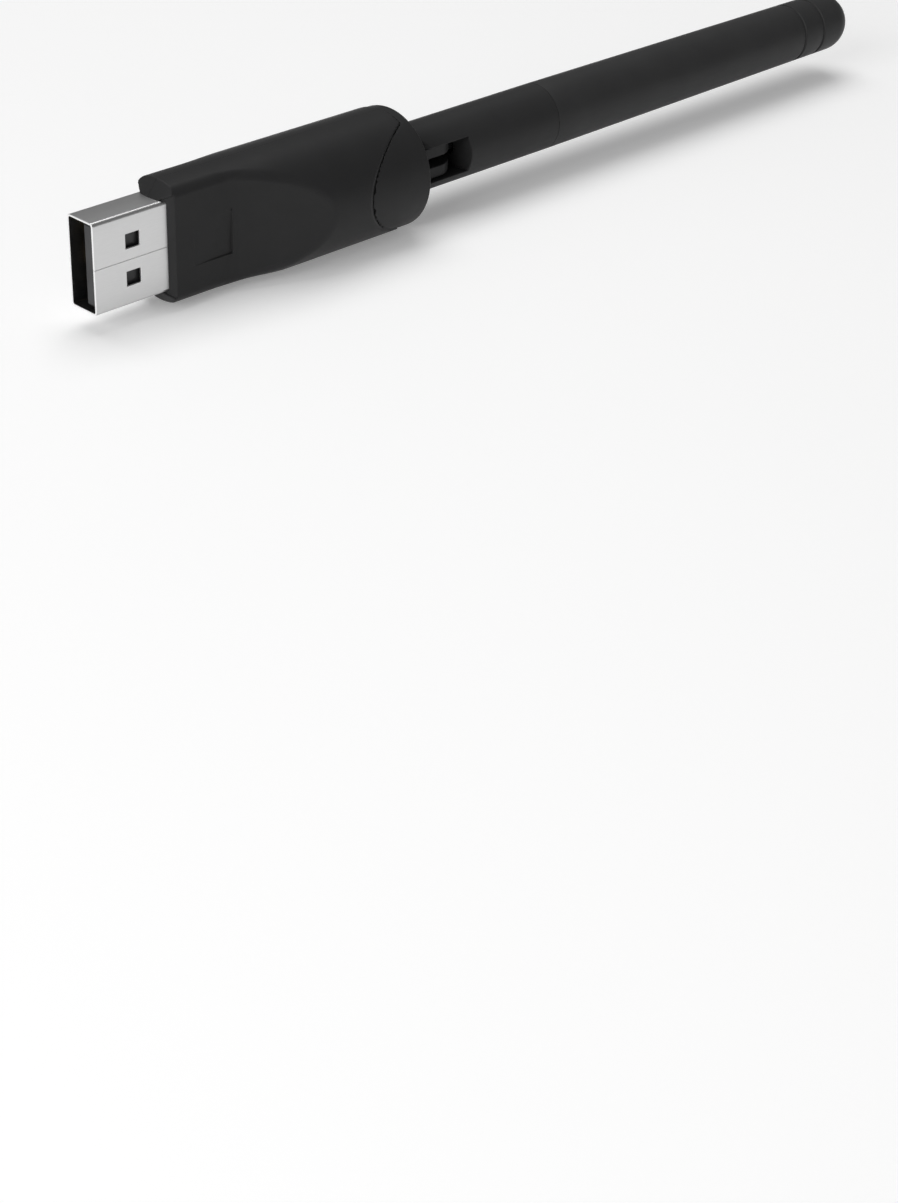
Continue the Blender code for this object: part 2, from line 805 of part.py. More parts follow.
def coax_middle():
    """The stretch inside the knuckle, which passes beside the pin."""
    start, end = COAX_BEND_START, COAX_BEND_END
    aside = PIN_R + COAX_R + SEAT
    points = []
    steps = 10
    for k in range(steps + 1):
        station = start + (end - start) * k / steps
        points.append((station, aside * math.sin(math.pi * k / steps) ** 2, 0.0))
    return tube("coax_middle", points, COAX_R, origin=at(COLLAR_START))


def coax_upper():
    start, end = COAX_BEND_END + COAX_BREAK, COAX_END
    points = [(start, 0, 0), ((start + end) / 2, 0, 0), (end, 0, 0)]
    return tube("coax_upper", points, COAX_R, origin=at(PIN))


def paint(material, objects):
    for obj in objects:
        obj.data.materials.clear()
        obj.data.materials.append(material)


def main():
    clear_scene()
    materials = make_materials()

    near, far = case_half("case_near", -1), case_half("case_far", 1)
    label_recess(near)
    parts = {name: board_part(name) for name in COMPONENTS}
    capacitors = [obj for name, obj in parts.items() if name.startswith("capacitor")]

    paint(materials["plug_steel"], [usb_shell()])
    paint(materials["tongue_plastic"], [usb_tongue()])
    paint(materials["gold"], contacts())
    paint(materials["case_plastic"], [near, far, rear_cap()])
    paint(materials["board_green"], [circuit_board()])
    paint(materials["chip_epoxy"], [parts["wifi_chip"], parts["voltage_regulator"]])
    paint(materials["can_steel"], [parts["crystal"]])
    paint(materials["ferrite"], [parts["power_inductor"]])
    paint(materials["ceramic"], capacitors)
    paint(materials["antenna_plastic"], [swivel_hub(), antenna_sleeve(), antenna_radome()])
    paint(materials["spring_steel"], [swivel_clip(), hinge_pin()])
    paint(materials["brass"], [dipole_sleeve()])
    paint(materials["copper"], [radiator_wire()])
    paint(materials["cable_jacket"], [coax_lower(), coax_middle(), coax_upper()])


main()
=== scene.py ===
"""Looks of the USB wireless adapter: fine surfaces, materials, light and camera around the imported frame.

Lengths in the shape functions are millimetres in the adapter's own coordinates: the station s
along X from the plug's mouth, y across the wide faces, and h, the height over the barrel's axis.
"""

import itertools
import json
import math

import bmesh
import bpy
import numpy as np
from mathutils import Matrix, Vector

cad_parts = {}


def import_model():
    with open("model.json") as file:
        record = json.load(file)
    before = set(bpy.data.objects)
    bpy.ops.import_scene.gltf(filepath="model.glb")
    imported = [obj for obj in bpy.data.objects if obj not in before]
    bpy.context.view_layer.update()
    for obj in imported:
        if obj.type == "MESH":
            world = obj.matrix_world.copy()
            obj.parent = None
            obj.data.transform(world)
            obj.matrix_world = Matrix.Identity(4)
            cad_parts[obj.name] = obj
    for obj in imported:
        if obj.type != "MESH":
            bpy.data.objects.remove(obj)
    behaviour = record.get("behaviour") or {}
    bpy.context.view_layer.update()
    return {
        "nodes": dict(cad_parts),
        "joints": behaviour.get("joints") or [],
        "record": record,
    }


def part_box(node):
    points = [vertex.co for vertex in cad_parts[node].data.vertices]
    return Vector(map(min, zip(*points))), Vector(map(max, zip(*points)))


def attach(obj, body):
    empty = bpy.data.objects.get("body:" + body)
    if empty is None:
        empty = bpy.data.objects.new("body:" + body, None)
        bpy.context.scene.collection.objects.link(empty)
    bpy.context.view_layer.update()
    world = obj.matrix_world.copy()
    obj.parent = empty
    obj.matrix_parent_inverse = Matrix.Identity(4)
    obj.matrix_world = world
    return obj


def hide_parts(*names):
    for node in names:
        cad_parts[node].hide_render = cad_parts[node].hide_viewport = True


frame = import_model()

MM = 0.001
JOINTS = {joint["name"]: joint for joint in frame["joints"]}


MOUTH_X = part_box("usb_shell")[0].x
AXIS_Z = JOINTS["antenna_tilt"]["pos_m"][2]


def span(node):
    """First and last station of a node, in millimetres."""
    low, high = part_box(node)
    return (low.x - MOUTH_X) / MM, (high.x - MOUTH_X) / MM


# Driving positions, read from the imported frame
PIN = (JOINTS["antenna_tilt"]["pos_m"][0] - MOUTH_X) / MM

BARREL_R = AXIS_Z / MM
PLUG_LOW, PLUG_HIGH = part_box("usb_shell")
PLUG_END = span("usb_shell")[1]
PLUG_HALF_Y = PLUG_HIGH.y / MM
PLUG_HALF_H = (PLUG_HIGH.z - PLUG_LOW.z) / 2 / MM
PLUG_RISE = (PLUG_HIGH.z + PLUG_LOW.z) / 2 / MM - BARREL_R
CASE_START, CASE_END = span("case_near")
CAP_START, CAP_END = span("rear_cap")
CAP_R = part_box("rear_cap")[1].y / MM
COLLAR_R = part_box("swivel_hub")[1].y / MM
SLEEVE_START = span("antenna_sleeve")[0]
SLEEVE_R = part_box("antenna_sleeve")[1].y / MM
SEAM = span("antenna_sleeve")[1]
SPIGOT_START, TIP = span("antenna_radome")

# Fine surfaces: how far a grid reaches past its solid, and a cutter past what it cuts
MARGIN = 0.3
END_MARGIN = 0.4
PAST = 1.0
LARGEST_MOVE = 0.1  # the most that a point moves in one step towards its surface

# Case
WALL = 1.15
FACE_Y = 3.55
FRONT_R = 5.7
CONE_END = 12.5
NOTCH_START = 11.75
NOTCH_SLOPE = 1.6
NOTCH_RISE = 0.5
RAMP_START, RAMP_END = 22.0, 36.0
RAMP_SLOPE = (BARREL_R - FACE_Y) / (RAMP_END - RAMP_START)
RAMP_COS = 1 / math.hypot(1, RAMP_SLOPE)
EDGE_ROUND, EDGE_ROUND_REAR = 1.6, 2.4
FRONT_LIFT, LIFT_START, LIFT_END = 0.6, 23.5, 31.0
LIFT_DEPTH = 4  # the lift fades in over this depth below the axis
RAMP_FILLET = 0.35
CREASE_ROUND = 0.06
END_ROUND = 0.25
NOTCH_GAP, NOTCH_FLAT, NOTCH_ROUND = 0.1, 1.2, 0.12
POCKET_GAP, POCKET_ROUND = 0.07, 0.08
SEAM_HALF, SEAM_ROUND = 0.008, 0.02
CAVITY_START, CAVITY_END = 18.5, 39.2
SWOOP_START = 42.4
SWOOP_FLOOR = 3.9
SWOOP_SLOPE = (BARREL_R - SWOOP_FLOOR) / (CASE_END - SWOOP_START)
LABEL_START, LABEL_END, LABEL_HALF, LABEL_DEPTH = 15.5, 22.0, 3.1, 0.22
LABEL_FADE = 4.0
LABEL_ROUND = 0.03

# Rear cap
CAP_CORE_R = 7.4
CORE_GAP = 0.3
CAP_ROUND = 0.4
JAW_DEPTH, JAW_SLOPE, JAW_MOST = 6.0, 0.8, 0.7  # the gap that opens low on the inclined cut
PAD_GAP, PAD_ROUND = 0.02, 0.05
RIB_START, RIB_END, RIB_R = 41.0, 42.2, 6.3
PAD_START = 42.8

# Swivel hub
COLLAR_START, COLLAR_END = 54.35, 55.75
COLLAR_ROUND = 0.3
NECK_START = 36.9
CLIP_START, CLIP_END = span("swivel_clip")
NECK_R = 3.5
KNUCKLE_R = 3.5
PRONG_OUT = 2.4
PRONG_IN = 0.7
PRONG_ROUND = 0.25
GROOVE_R = 2.8
GROOVE_GAP = 0.3
NECK_GAP = 0.07
KNUCKLE_SINK = 0.6  # how deep the knuckle's root sits in the collar
HUB_BORE_R = 1.4
HUB_PIN_HOLE_R = 0.87

# Antenna
FORK_HALF = 2.55
FORK_GAP = 0.15
SLOT_ROUND = 0.14
SLOT_DISH, SLOT_DISH_HALF = 0.06, 4  # the slot's end is slightly deeper in its middle
SLEEVE_PIN_HOLE_R, SLEEVE_PIN_HOLE_END = 0.9, 4.2
SLOT_END = 65.7
SPIGOT_R = 3.4
LEAD_BORE_R = 1.07
TIP_R = 4.6
GROOVES = (144.25, 149.15)
GROOVE_MOUTH_HALF, GROOVE_FLOOR_HALF, GROOVE_DEPTH, GROOVE_ROUND = 0.36, 0.26, 0.22, 0.06
SPIGOT_GAP = 0.3
RADOME_GAP = 0.06
TAPER_START, TAPER_END, TAPER_RINGS = 90, 140, 6
TIP_STEPS = 24
TURN_STEPS = 96
ARC_STEPS = 4
RADOME_BORE_R, RADOME_BORE_END = 2.75, 148.0
CENTRE = 1e-4  # a radius so small that its ring closes to a point

# Plug
CLOSE = 1e-6  # two lengths nearer than this are the same
PLUG_CORNER_R, PLUG_CORNER_STEPS = 0.25, 6
PLUG_SEAM_HALF = 0.004
LATCH_MIDDLE, LATCH_HALF = 2.56, 1.0
LATCH_START, LATCH_END = 5.1, 7.4
LATCH_LOW, LATCH_HIGH = 1.6, 3.5  # a face whose middle lies between these is a latch window
SHEET = 0.3
SHEET_EDGE = 0.06
TONGUE_THIN_Y = 0.04
TONGUE_ROUND = 0.18
TONGUE_THICK_START = 9.2
TONGUE_SLOT_DEPTH, TONGUE_SLOT_HALF = 0.9, 4.3


def world(points):
    """Adapter coordinates in millimetres to world metres."""
    points = np.asarray(points, float) * MM
    return points + np.array([MOUTH_X, 0.0, AXIS_Z])


# ----------------------------------------------------------- Solids as distance functions


def both(a, b, radius):
    """Intersection of two solids, whose outer edge gets a round of about the given radius."""
    rounded = np.hypot(np.maximum(a + radius, 0), np.maximum(b + radius, 0))
    return np.minimum(-radius, np.maximum(a, b)) + rounded


def either(a, b, radius):
    """Union of two solids, with a fillet of about the given radius in the inner corner."""
    return -both(-a, -b, radius)


def without(a, b, radius):
    """First solid less the second, with a rounded edge."""
    return both(a, -b, radius)


def slab(value, low, high):
    return np.maximum(low - value, value - high)


def bar(s, y, h, low, high, radius):
    """A box between two corners, with its twelve edges rounded."""
    solid = slab(s, low[0], high[0])
    solid = both(solid, slab(y, low[1], high[1]), radius)
    return both(solid, slab(h, low[2], high[2]), radius)


def spread(low, high, step, *fine):
    """Grid positions from low to high, closer near each (centre, half width, step) of fine."""
    values = [low]
    while values[-1] < high:
        here = values[-1]
        size = step
        for centre, half, small in fine:
            away = max(abs(here + small - centre) - half, 0)
            size = min(size, small + 0.35 * away)
        values.append(here + size)
    return np.array(values)


CORNERS = list(itertools.product((0, 1), repeat=3))


def crossings(value, grid):
    """For each cell of the grid, the mean point where its edges cross the surface, and how many do."""
    cells = tuple(n - 1 for n in value.shape)
    total = np.zeros((*cells, 3))
    count = np.zeros(cells)
    for axis in range(3):
        for corner in (c for c in CORNERS if c[axis] == 0):
            end = tuple(c + (n == axis) for n, c in enumerate(corner))
            first = tuple(slice(c, c + n) for c, n in zip(corner, cells))
            last = tuple(slice(c, c + n) for c, n in zip(end, cells))
            a, b = value[first], value[last]
            crossed = (a < 0) != (b < 0)
            share = np.where(crossed, a / np.where(crossed, a - b, 1.0), 0.0)[..., None]
            total += crossed[..., None] * (grid[first] + share * (grid[last] - grid[first]))
            count += crossed
    return total, count


def quads(value, index):
    """One quad for each grid edge that crosses the surface, joining the four cells around it."""
    faces = []
    inside = value < 0
    for axis in range(3):
        one, two = (axis + 1) % 3, (axis + 2) % 3
        low = [slice(None)] * 3
        low[axis] = slice(0, -1)
        low[one] = low[two] = slice(1, -1)
        high = list(low)
        high[axis] = slice(1, None)
        starts, ends = inside[tuple(low)], inside[tuple(high)]
        place = np.argwhere(starts != ends)
        leaving = starts[starts != ends]
        ring = []
        for back_one, back_two in ((1, 1), (0, 1), (0, 0), (1, 0)):
            cell = place.copy()
            cell[:, one] += 1 - back_one
            cell[:, two] += 1 - back_two
            ring.append(index[tuple(cell.T)])
        ring = np.stack(ring, 1)
        ring[~leaving] = ring[~leaving][:, ::-1]
        faces.append(ring)
    return np.concatenate(faces)


def slope_of(solid, points, reach=0.01):
    gradient = np.zeros_like(points)
    for axis in range(3):
        step = np.zeros(3)
        step[axis] = reach
        ahead, behind = points + step, points - step
        gradient[..., axis] = (solid(*ahead.T) - solid(*behind.T)) / (2 * reach)
    return gradient


def skin(name, solid, stations, ys, heights):
    """The closed surface of a solid: a grid cell that it crosses holds one point, moved onto it."""
    grid = np.stack(np.meshgrid(stations, ys, heights, indexing="ij"), -1)
    value = solid(grid[..., 0], grid[..., 1], grid[..., 2])
    total, count = crossings(value, grid)
    index = np.full(count.shape, -1)
    used = count > 0
    index[used] = np.arange(used.sum())
    points = total[used] / count[used][:, None]
    for _ in range(5):
        slope = slope_of(solid, points)
        steep = np.maximum((slope**2).sum(1), 0.05)
        move = -(solid(*points.T) / steep)[:, None] * slope
        points += np.clip(move, -LARGEST_MOVE, LARGEST_MOVE)
    normals = slope_of(solid, points, 0.02)
    length = np.linalg.norm(normals, axis=1, keepdims=True)
    normals /= np.maximum(length, 1e-6)
    return mesh_piece(name, world(points), quads(value, index).tolist(), normals)


def mesh_piece(name, points, faces, normals=None):
    mesh = bpy.data.meshes.new(name)
    mesh.from_pydata(points.tolist(), [], faces)
    mesh.validate()
    mesh.shade_smooth()
    if normals is not None:
        mesh.normals_split_custom_set_from_vertices(normals.tolist())
    piece = bpy.data.objects.new(name, mesh)
    bpy.context.collection.objects.link(piece)
    return piece


# ------------------------------------------------------------------------------- Case


def share(value, start, end):
    """How far a value lies along a stretch, from 0 before it to 1 past it."""
    return np.clip((value - start) / (end - start), 0, 1)


def lifted(s, h):
    """Heights for the case's section, whose underside stands a little higher at the front."""
    back = share(s, LIFT_START, LIFT_END)
    lift = FRONT_LIFT * (1 - back * back * (3 - 2 * back))
    return h - lift * share(-h, 0, LIFT_DEPTH)


def ramp(y, s, inset=0.0):
    """Flat wide faces that climb a ramp to the barrel; inset moves them inwards."""
    flat = np.abs(y) - FACE_Y + inset
    climb = (flat - RAMP_SLOPE * (s - RAMP_START)) / math.hypot(1, RAMP_SLOPE)
    return either(flat, climb, RAMP_FILLET)


def swoop(s, y, inset=0.0):
    """The inclined cut on each side of the case's rear end."""
    line = np.abs(y) - BARREL_R + SWOOP_SLOPE * (s - SWOOP_START) - inset
    return line / math.hypot(1, SWOOP_SLOPE)


def plug_pocket(y, h, gap):
    return np.maximum(np.abs(y) - PLUG_HALF_Y - gap, np.abs(h - PLUG_RISE) - PLUG_HALF_H - gap)


def case_outside(s, y, h):
    """The barrel, its wide flats and ramps, the coned ears beside the plug and the rear cuts."""
    r = np.hypot(y, lifted(s, h))
    edge = EDGE_ROUND + (EDGE_ROUND_REAR - EDGE_ROUND) * share(s, RAMP_START, RAMP_END)
    edge = edge * (1 - RAMP_COS * np.abs(y) / np.maximum(r, 1))
    solid = both(r - BARREL_R, ramp(y, s), edge)
    rise = (BARREL_R - FRONT_R) / (CONE_END - CASE_START)
    cone = (r - FRONT_R - rise * (s - CASE_START)) / math.hypot(1, rise)
    solid = both(solid, cone, CREASE_ROUND)
    solid = both(solid, swoop(s, y), CREASE_ROUND)
    solid = both(solid, s - CASE_END, END_ROUND)
    front = np.abs(y) - PLUG_HALF_Y - NOTCH_GAP - NOTCH_SLOPE * (s - NOTCH_START)
    side = np.abs(h - PLUG_RISE) - PLUG_HALF_H - NOTCH_RISE * (np.abs(y) - NOTCH_FLAT)
    notch = np.maximum(-front / math.hypot(1, NOTCH_SLOPE), side / math.hypot(1, NOTCH_RISE))
    return without(solid, notch, NOTCH_ROUND)


def case_hollow(s, y, h):
    room = np.hypot(y, lifted(s, h)) - BARREL_R + WALL
    room = np.maximum(room, slab(s, CAVITY_START, CAVITY_END))
    room = np.maximum(room, ramp(y, s, WALL))
    bore = np.maximum(s - CASE_END - PAST, CAVITY_END - 0.1 - s)
    bore = np.maximum(bore, np.hypot(y, h) - CAP_CORE_R - CORE_GAP)
    return np.minimum(room, bore)


def label_recess(s, y, h):
    """A shallow recess whose floor runs out towards the front and the top."""
    along = np.clip((s - LABEL_START) / LABEL_FADE, 0, 1)
    down = np.clip((LABEL_HALF - h) / LABEL_FADE, 0, 1)
    depth = LABEL_DEPTH * along * down
    outline = np.maximum(slab(s, LABEL_START, LABEL_END), slab(h, -LABEL_HALF, LABEL_HALF))
    return np.maximum(outline, y + FACE_Y - depth)


def case_solid(side):
    def solid(s, y, h):
        shape = case_outside(s, y, h)
        shape = without(shape, plug_pocket(y, h, POCKET_GAP), POCKET_ROUND)
        shape = without(shape, case_hollow(s, y, h), 0.1)
        if side < 0:
            shape = without(shape, label_recess(s, y, h), LABEL_ROUND)
        return both(shape, SEAM_HALF - side * y, SEAM_ROUND)

    return solid


def case_half(name, side):
    stations = spread(
        CASE_START - MARGIN,
        CASE_END + 0.5,
        0.4,
        (11.5, 1.5, 0.12),
        (LABEL_END, 0.15, 0.05),
        (SWOOP_START, 1.0, 0.2),
        (CASE_END, 0.4, 0.12),
    )
    ys = spread(
        -0.2,
        BARREL_R + MARGIN,
        0.28,
        (0.03, 0.1, 0.04),
        (PLUG_HALF_Y + 0.1, 0.2, 0.1),
        (FACE_Y - 0.1, 0.3, 0.1),
    )
    heights = spread(
        -BARREL_R - MARGIN,
        BARREL_R + MARGIN,
        0.28,
        (-PLUG_HALF_H + PLUG_RISE, 0.5, 0.12),
        (PLUG_HALF_H + PLUG_RISE, 0.5, 0.12),
        (-LABEL_HALF, 0.15, 0.05),
    )
    ys = ys if side > 0 else -ys[::-1]
    return skin(name, case_solid(side), stations, ys, heights)


def rear_cap_solid(s, y, h):
    r = np.hypot(y, h)
    core = np.maximum(slab(s, CAP_START, CAP_END), r - CAP_CORE_R)
    rib = np.maximum(slab(s, RIB_START - 0.3, RIB_END + 0.3), RIB_R - r)
    core = np.maximum(core, -rib)
    shown = both(slab(s, PAD_START, CAP_END), r - CAP_R, CAP_ROUND)
    outside = -swoop(s, y, PAD_GAP)
    behind = CASE_END + 0.1 - s
    lower_gap = np.clip((-h - JAW_DEPTH) * JAW_SLOPE, 0, JAW_MOST)
    shown = both(shown, np.minimum(outside + lower_gap, behind), PAD_ROUND)
    solid = either(core, shown, 0.1)
    return without(solid, r - NECK_R - NECK_GAP, 0.1)


def rear_cap():
    rim = (CAP_END - 0.2, 0.5, 0.1)
    step = (CASE_END, 0.3, 0.12)
    stations = spread(CAP_START - END_MARGIN, CAP_END + END_MARGIN, 0.3, rim, step)
    across = spread(-CAP_R - END_MARGIN, CAP_R + MARGIN, 0.24)
    return skin("rear_cap_skin", rear_cap_solid, stations, across, across)


# ---------------------------------------------------------------------- Swivel and antenna


def hub_solid(s, y, h):
    r = np.hypot(y, h)
    neck = np.maximum(slab(s, NECK_START, COLLAR_START + 0.3), r - NECK_R)
    groove = np.maximum(slab(s, CLIP_START - GROOVE_GAP, CLIP_END + GROOVE_GAP), GROOVE_R - r)
    neck = np.maximum(neck, -groove)
    collar = both(slab(s, COLLAR_START, COLLAR_END), r - COLLAR_R, COLLAR_ROUND)
    end = np.hypot(s - PIN, y) - KNUCKLE_R
    straight = np.maximum(slab(s, COLLAR_END - KNUCKLE_SINK, PIN), np.abs(y) - KNUCKLE_R)
    tongue = both(np.minimum(end, straight), np.abs(h) - PRONG_OUT, PRONG_ROUND)
    tongue = np.maximum(tongue, COLLAR_END - KNUCKLE_SINK - s)
    solid = np.minimum(neck, either(collar, tongue, 0.2))
    passage = np.maximum(COLLAR_END - 0.2 - s, np.abs(h) - PRONG_IN)
    passage = np.maximum(passage, np.abs(y) - KNUCKLE_R - PAST)
    solid = without(solid, passage, 0.12)
    bore = np.maximum(r - HUB_BORE_R, s - COLLAR_END - 0.8)
    solid = np.maximum(solid, -bore)
    return without(solid, np.hypot(s - PIN, y) - HUB_PIN_HOLE_R, 0.05)


def swivel_hub():
    collar = (COLLAR_START + 0.7, 0.9, 0.12)
    knuckle = (PIN + 1, 2.5, 0.16)
    stations = spread(NECK_START - END_MARGIN, PIN + KNUCKLE_R + END_MARGIN, 0.3, collar, knuckle)
    across = spread(-COLLAR_R - MARGIN, COLLAR_R + MARGIN, 0.2)
    faces = [(side * h, 0.2, 0.1) for side in (-1, 1) for h in (PRONG_IN, PRONG_OUT - 0.1)]
    heights = spread(-COLLAR_R - MARGIN, COLLAR_R + MARGIN, 0.22, *faces)
    return skin("swivel_hub_skin", hub_solid, stations, across, heights)


def sleeve_solid(s, y, h):
    r = np.hypot(y, h)
    solid = both(slab(s, SLEEVE_START, SEAM), r - SLEEVE_R, 0.05)
    bore = np.maximum(s - SEAM - PAST, SPIGOT_START - SPIGOT_GAP - s)
    bore = np.maximum(bore, r - SPIGOT_R - SPIGOT_GAP)
    lead = np.maximum(slab(s, SLOT_END - 0.7, SPIGOT_START + 0.7), r - LEAD_BORE_R)
    solid = without(solid, np.minimum(bore, lead), 0.08)
    dish = SLOT_DISH * np.maximum(SLOT_DISH_HALF - np.abs(h), 0)
    slot = np.maximum(s - SLOT_END - dish, y - KNUCKLE_R - FORK_GAP)
    slot = np.maximum(slot, np.abs(h) - FORK_HALF)
    solid = without(solid, slot, SLOT_ROUND)
    heel = np.where((s < PIN) & (y < 0), np.hypot(s - PIN, y) - SLEEVE_R, -1.0)
    solid = both(solid, heel, 0.12)
    pin_hole = np.maximum(np.hypot(s - PIN, y) - SLEEVE_PIN_HOLE_R, h - SLEEVE_PIN_HOLE_END)
    return without(solid, pin_hole, 0.08)


def antenna_sleeve():
    foot = (PIN, 5.3, 0.17)
    rim = (SEAM, 0.2, 0.05)
    seat = (SPIGOT_START, 0.3, 0.2)
    stations = spread(SLEEVE_START - END_MARGIN, SEAM + END_MARGIN, 1.2, foot, rim, seat)
    across = spread(-SLEEVE_R - MARGIN, SLEEVE_R + MARGIN, 0.2)
    cheeks = [(side * FORK_HALF, 0.2, 0.1) for side in (-1, 1)]
    heights = spread(-SLEEVE_R - MARGIN, SLEEVE_R + MARGIN, 0.2, *cheeks)
    return skin("antenna_sleeve_skin", sleeve_solid, stations, across, heights)


def lathe(name, profile):
    """A closed solid turned about the axis from (station, radius) points."""
    points, faces = [], []
    for s, r in profile:
        for k in range(TURN_STEPS):
            angle = 2 * math.pi * k / TURN_STEPS
            points.append((s, r * math.cos(angle), r * math.sin(angle)))
    rows = len(profile)
    for row in range(rows):
        nxt = (row + 1) % rows
        for k in range(TURN_STEPS):
            n = (k + 1) % TURN_STEPS
            here, there = row * TURN_STEPS, nxt * TURN_STEPS
            faces.append((here + k, here + n, there + n, there + k))
    piece = mesh_piece(name, world(points), faces)
    bm = bmesh.new()
    bm.from_mesh(piece.data)
    bmesh.ops.remove_doubles(bm, verts=bm.verts, dist=1e-7)
    bmesh.ops.recalc_face_normals(bm, faces=bm.faces)
    bm.to_mesh(piece.data)
    bm.free()
    piece.data.set_sharp_from_angle(angle=math.radians(35))
    return piece


def rounded(corner, before, after, radius):
    """Points of a small arc that replaces a corner of a profile."""
    corner, before, after = (np.array(p, float) for p in (corner, before, after))
    first = corner + (before - corner) / np.linalg.norm(before - corner) * radius
    last = corner + (after - corner) / np.linalg.norm(after - corner) * radius
    points = []
    for k in range(ARC_STEPS + 1):
        t = k / ARC_STEPS
        points.append(tuple((1 - t) ** 2 * first + 2 * t * (1 - t) * corner + t**2 * last))
    return points


def soften(profile, radii):
    """A profile with some of its corners rounded; radii maps a corner's number to its radius."""
    points = []
    for n, corner in enumerate(profile):
        if n in radii:
            points += rounded(corner, profile[n - 1], profile[(n + 1) % len(profile)], radii[n])
        else:
            points.append(corner)
    return points


def antenna_radome():
    slope = (TIP_R - SLEEVE_R) / (TIP - TIP_R - SEAM)

    def outer(s):
        return SLEEVE_R + slope * (s - SEAM)

    first = SEAM + RADOME_GAP
    profile = [
        (RADOME_BORE_END, CENTRE),
        (RADOME_BORE_END, RADOME_BORE_R),
        (SPIGOT_START, RADOME_BORE_R),
        (SPIGOT_START, SPIGOT_R),
        (first, SPIGOT_R),
        (first, outer(first)),
    ]
    radii = {len(profile) - 1: 0.05}
    for s in np.linspace(TAPER_START, TAPER_END, TAPER_RINGS):
        profile.append((s, outer(s)))
    for middle in GROOVES:
        for away, deep in (
            (-GROOVE_MOUTH_HALF, 0),
            (-GROOVE_FLOOR_HALF, GROOVE_DEPTH),
            (GROOVE_FLOOR_HALF, GROOVE_DEPTH),
            (GROOVE_MOUTH_HALF, 0),
        ):
            radii[len(profile)] = GROOVE_ROUND
            profile.append((middle + away, outer(middle) - deep))
    for k in range(TIP_STEPS + 1):
        angle = math.pi / 2 * k / TIP_STEPS
        profile.append((TIP - TIP_R + TIP_R * math.sin(angle), max(TIP_R * math.cos(angle), CENTRE)))
    return lathe("antenna_radome_skin", soften(profile, radii))


# ------------------------------------------------------------------------------- Plug


def plug_loop():
    """Outline of the plug's shell in (y, h), from one lip of its seam round to the other."""
    y0, h0, radius = PLUG_HALF_Y, PLUG_HALF_H, PLUG_CORNER_R
    latch = [PLUG_RISE + side * LATCH_MIDDLE + end * LATCH_HALF for side in (-1, 1) for end in (-1, 1)]
    points = [(-y0, PLUG_RISE - PLUG_SEAM_HALF)]
    points += [(-y0, h) for h in (latch[1], latch[0])]
    corners = ((-1, -1, 180), (1, -1, 270), (1, 1, 0), (-1, 1, 90))
    for sign_y, sign_h, start in corners:
        centre = (sign_y * (y0 - radius), PLUG_RISE + sign_h * (h0 - radius))
        for k in range(PLUG_CORNER_STEPS + 1):
            angle = math.radians(start + 90 * k / PLUG_CORNER_STEPS)
            points.append((centre[0] + radius * math.cos(angle), centre[1] + radius * math.sin(angle)))
        if (sign_y, sign_h) == (1, -1):
            points += [(y0, h) for h in latch]
    points += [(-y0, h) for h in (latch[3], latch[2])]
    points.append((-y0, PLUG_RISE + PLUG_SEAM_HALF))
    return points


# The shell's materials in the order of its slots: inside, steel darkened as painted shade; outside; and
# the cut edges, steel lightened as a painted highlight
PLUG_LAYERS = ("plug_inner", "plug_steel", "plug_rim")


def usb_shell():
    """Bent sheet with a butt seam along one wide face and two latch windows in each."""
    loop = plug_loop()
    stations = (0.0, LATCH_START, LATCH_END, PLUG_END)
    points = [(s, y, h) for s in stations for y, h in loop]
    count = len(loop)
    faces = []
    for row in range(len(stations) - 1):
        for k in range(count - 1):
            middle = (loop[k][1] + loop[k + 1][1]) / 2 - PLUG_RISE
            on_wide_face = abs(abs(loop[k][0]) - PLUG_HALF_Y) < CLOSE
            straight = abs(loop[k][0] - loop[k + 1][0]) < CLOSE
            if row == 1 and on_wide_face and straight and LATCH_LOW < abs(middle) < LATCH_HIGH:
                continue
            a, b = row * count + k, row * count + k + 1
            faces.append((a, a + count, b + count, b))
    piece = mesh_piece("usb_shell_skin", world(points), faces)
    sheet = piece.modifiers.new("sheet", "SOLIDIFY")
    sheet.thickness = SHEET * MM
    sheet.offset = -1
    sheet.use_even_offset = True
    sheet.material_offset = PLUG_LAYERS.index("plug_steel")
    # the rim faces take the lightened steel, a painted highlight
    sheet.material_offset_rim = PLUG_LAYERS.index("plug_rim")
    edge = piece.modifiers.new("edge", "BEVEL")
    edge.width = SHEET_EDGE * MM
    edge.segments = 3
    edge.limit_method = "ANGLE"
    edge.angle_limit = math.radians(50)
    edge.harden_normals = True
    return piece


TONGUE_BOX = [
    ((corner.x - MOUTH_X) / MM, corner.y / MM, (corner.z - AXIS_Z) / MM)
    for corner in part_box("usb_tongue")
]


def tongue_solid(s, y, h):
    low, high = TONGUE_BOX
    thin = bar(s, y, h, low, (high[0], TONGUE_THIN_Y, high[2]), TONGUE_ROUND)
    thick = bar(s, y, h, (TONGUE_THICK_START, low[1], low[2]), high, TONGUE_ROUND)
    solid = np.minimum(thin, thick)
    slot = slab(y, TONGUE_THIN_Y, TONGUE_SLOT_DEPTH)
    slot = np.maximum(slot, np.abs(h - PLUG_RISE) - TONGUE_SLOT_HALF)
    return np.maximum(solid, -slot)


def usb_tongue():
    low, high = TONGUE_BOX
    stations = spread(low[0] - END_MARGIN, high[0] + END_MARGIN, 0.5, (low[0], 0.3, 0.12))
    ys = spread(low[1] - MARGIN, high[1] + MARGIN, 0.14)
    edges = [(corner[2], 0.3, 0.1) for corner in TONGUE_BOX]
    heights = spread(low[2] - MARGIN, high[2] + MARGIN, 0.3, *edges)
    return skin("usb_tongue_skin", tongue_solid, stations, ys, heights)


# -------------------------------------------------------------------------- Materials


def new_material(name):
    material = bpy.data.materials.new(name)
    material.use_nodes = True
    tree = material.node_tree
    return material, tree, tree.nodes["Principled BSDF"]


